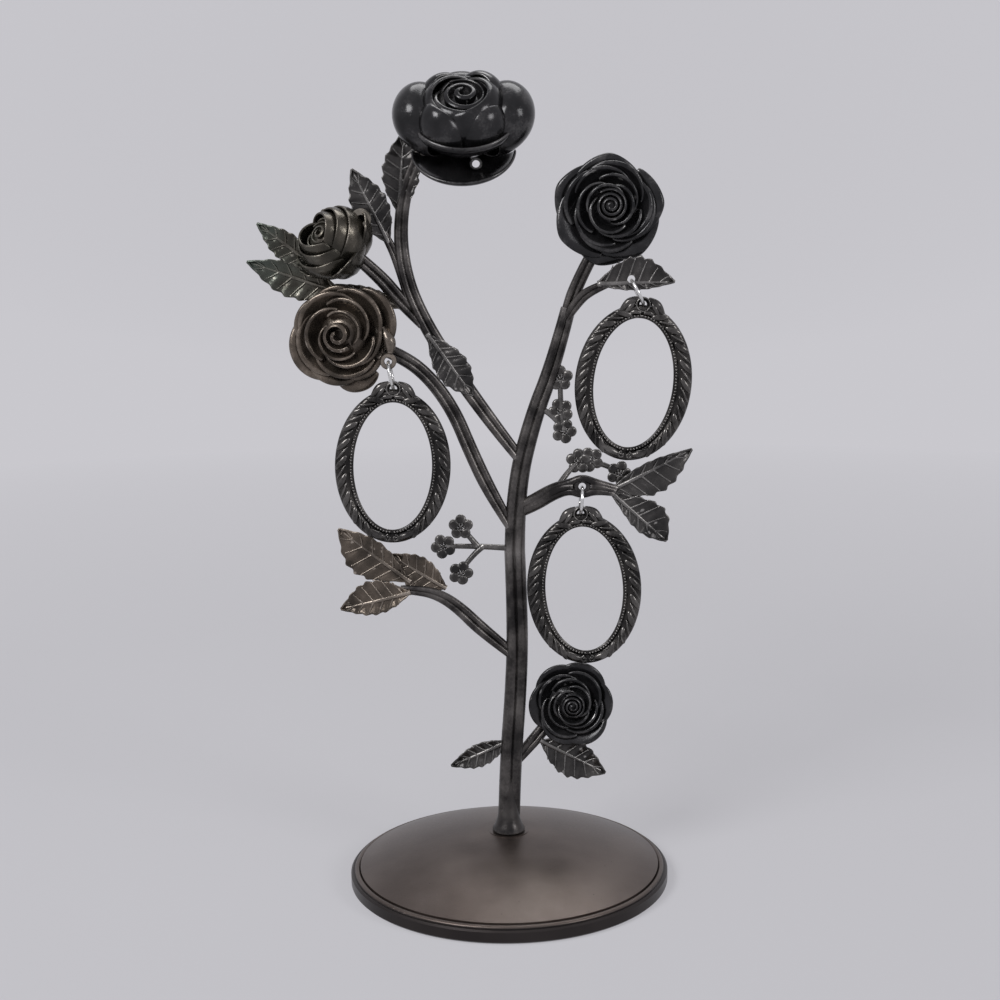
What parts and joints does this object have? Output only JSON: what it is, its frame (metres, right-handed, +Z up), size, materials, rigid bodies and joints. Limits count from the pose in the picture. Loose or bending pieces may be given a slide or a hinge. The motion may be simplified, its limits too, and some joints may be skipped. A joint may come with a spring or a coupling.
{
  "type": "photo tree stand",
  "caption": "Free-standing metal rose tree on a round domed foot, with small oval photo frames hanging from its blooms and leaves on jump rings.",
  "frame": {"origin": "centre of the round foot, on the surface that it stands on", "axes": "+Z up along the trunk, +X to the right seen from the front, -Y towards the front"},
  "size_m": [0.1303, 0.0982, 0.2438],
  "materials": {
    "foot_metal": "satin brown-grey patina, small dark pits, coppery wear on the rings",
    "pewter_stem": "antique pewter, dark in the grooves, worn bright on the ridges",
    "pewter_black": "glossy black pewter with bright petal edges",
    "pewter_warm": "brown-tinted antique pewter",
    "pewter_green": "antique pewter with a grey-green tint",
    "pewter_leaf": "antique pewter, veins dark, edges worn bright",
    "pewter_flower": "antique pewter, dark between the petals",
    "pewter_frame": "antique pewter, dark between the lobes and beads",
    "ring_wire": "bright plated wire",
    "screw_steel": "plain zinc-plated steel",
    "pad_felt": "black felt pad"
  },
  "bodies": {
    "tree": {"base_dome": "foot_metal", "base_pad": "pad_felt", "base_washer": "screw_steel", "base_screw": "screw_steel", "trunk_lower": "pewter_stem", "trunk_upper": "pewter_stem", "stem_left_rose": "pewter_stem", "stem_top_rose": "pewter_stem", "stem_bud": "pewter_stem", "stem_leaf_high": "pewter_stem", "stem_right_rose": "pewter_stem", "stem_right_leaf": "pewter_stem", "branch_left": "pewter_stem", "branch_right": "pewter_stem", "stem_low_rose": "pewter_stem", "rose_left": "pewter_warm", "rose_top": "pewter_black", "rose_right": "pewter_black", "rose_low": "pewter_black", "rose_bud": "pewter_green", "leaf_right_high": "pewter_leaf", "leaf_top": "pewter_leaf", "leaf_high_left": "pewter_leaf", "leaf_bud_upper": "pewter_green", "leaf_bud_lower": "pewter_green", "leaf_bud_sheath": "pewter_green", "leaf_middle": "pewter_leaf", "leaf_right_upper": "pewter_leaf", "leaf_right_lower": "pewter_leaf", "leaf_left_upper": "pewter_warm", "leaf_left_lower": "pewter_warm", "leaf_left_inner": "pewter_warm", "leaf_low_right": "pewter_leaf", "leaf_low_left": "pewter_leaf", "blossom_spray_left": "pewter_flower", "blossom_spray_high": "pewter_flower", "blossom_spray_right": "pewter_flower"},
    "ring_left": {"jump_ring_left": "ring_wire"},
    "hung_frame_left": {"frame_left": "pewter_frame"},
    "ring_right": {"jump_ring_right": "ring_wire"},
    "hung_frame_right": {"frame_right": "pewter_frame"},
    "ring_low": {"jump_ring_low": "ring_wire"},
    "hung_frame_low": {"frame_low": "pewter_frame"}
  },
  "joints": [
    {"name": "ring_left_swing", "type": "hinge", "parent": "tree", "child": "ring_left", "pos_m": [-0.03318, -0.008, 0.16179], "axis": [0, -1, 0], "range_deg": [-25, 25]},
    {"name": "frame_left_tilt", "type": "hinge", "parent": "ring_left", "child": "hung_frame_left", "pos_m": [-0.03252, -0.008, 0.15799], "axis": [-0.9848, 0, -0.1736], "range_deg": [-2, 45]},
    {"name": "ring_right_swing", "type": "hinge", "parent": "tree", "child": "ring_right", "pos_m": [0.03733, -0.008, 0.18448], "axis": [0, -1, 0], "range_deg": [-25, 8]},
    {"name": "frame_right_tilt", "type": "hinge", "parent": "ring_right", "child": "hung_frame_right", "pos_m": [0.03908, -0.008, 0.18105], "axis": [-0.891, 0, -0.454], "range_deg": [-2, 45]},
    {"name": "ring_low_swing", "type": "hinge", "parent": "tree", "child": "ring_low", "pos_m": [0.02294, -0.008, 0.12421], "axis": [0, -1, 0], "range_deg": [-25, 18]},
    {"name": "frame_low_tilt", "type": "hinge", "parent": "ring_low", "child": "hung_frame_low", "pos_m": [0.02267, -0.008, 0.12037], "axis": [-0.9976, 0, 0.0698], "range_deg": [-2, 45]}
  ]
}
